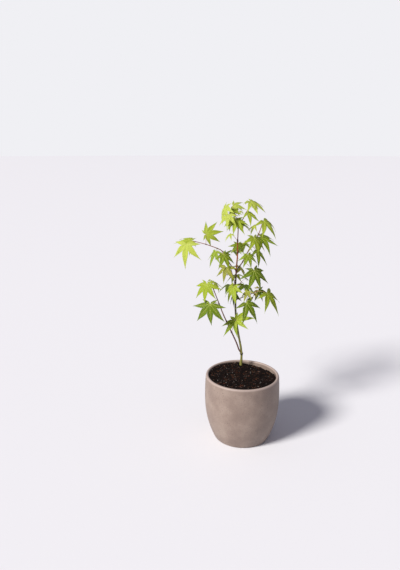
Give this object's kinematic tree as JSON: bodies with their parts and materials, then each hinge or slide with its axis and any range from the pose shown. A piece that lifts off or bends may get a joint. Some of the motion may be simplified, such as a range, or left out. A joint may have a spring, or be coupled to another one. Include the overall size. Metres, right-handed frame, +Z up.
{
  "type": "potted japanese maple",
  "caption": "Young Japanese maple with two slender stems and sparse, drooping star-shaped leaves, growing in a round taupe ceramic pot of dark compost.",
  "frame": {"origin": "middle of the pot's flat underside", "axes": "+Z up along the pot's axis, +X to the right and -Y to the front, where the plant's second stem leans left"},
  "size_m": [0.2439, 0.2264, 0.543],
  "materials": {
    "pot": "satin taupe glaze",
    "soil": "moist bark and peat compost, matt",
    "bark": "thin young bark, olive to red-brown, satin",
    "foliage": "thin fresh leaves, satin"
  },
  "bodies": {
    "root": {"back_shoot_lower": "bark", "back_shoot_upper": "bark", "foliage_back_lower": "foliage", "foliage_back_lower_left": "foliage", "foliage_back_middle": "foliage", "foliage_back_top": "foliage", "foliage_back_upper": "foliage", "foliage_back_upper_left": "foliage", "foliage_behind_stem": "foliage", "foliage_centre_back": "foliage", "foliage_centre_front": "foliage", "foliage_left_inner_back": "foliage", "foliage_left_inner_front": "foliage", "foliage_left_middle": "foliage", "foliage_left_tip_lower": "foliage", "foliage_left_tip_upper": "foliage", "foliage_left_upright": "foliage", "foliage_lower_right_bronze": "foliage", "foliage_lower_right_hanging": "foliage", "foliage_lower_right_small": "foliage", "foliage_lower_right_tip": "foliage", "foliage_lowest_left": "foliage", "foliage_lowest_right": "foliage", "foliage_middle_behind": "foliage", "foliage_middle_star": "foliage", "foliage_right_inner": "foliage", "foliage_right_narrow": "foliage", "foliage_right_pale": "foliage", "foliage_right_tip": "foliage", "foliage_right_upper_front": "foliage", "foliage_right_upper_side": "foliage", "foliage_second_star": "foliage", "foliage_second_top_back": "foliage", "foliage_second_top_front": "foliage", "foliage_top_centre": "foliage", "foliage_top_dark": "foliage", "foliage_top_front": "foliage", "foliage_top_green": "foliage", "foliage_top_hanging": "foliage", "foliage_top_left": "foliage", "foliage_top_left_lower": "foliage", "foliage_top_right": "foliage", "foliage_top_right_lower": "foliage", "foliage_top_small": "foliage", "leader": "bark", "left_bough": "bark", "left_shoot": "bark", "lower_right_shoot": "bark", "pot": "pot", "right_bough": "bark", "second_stem": "bark", "soil": "soil", "top_shoot": "bark", "trunk": "bark"}
  },
  "joints": []
}
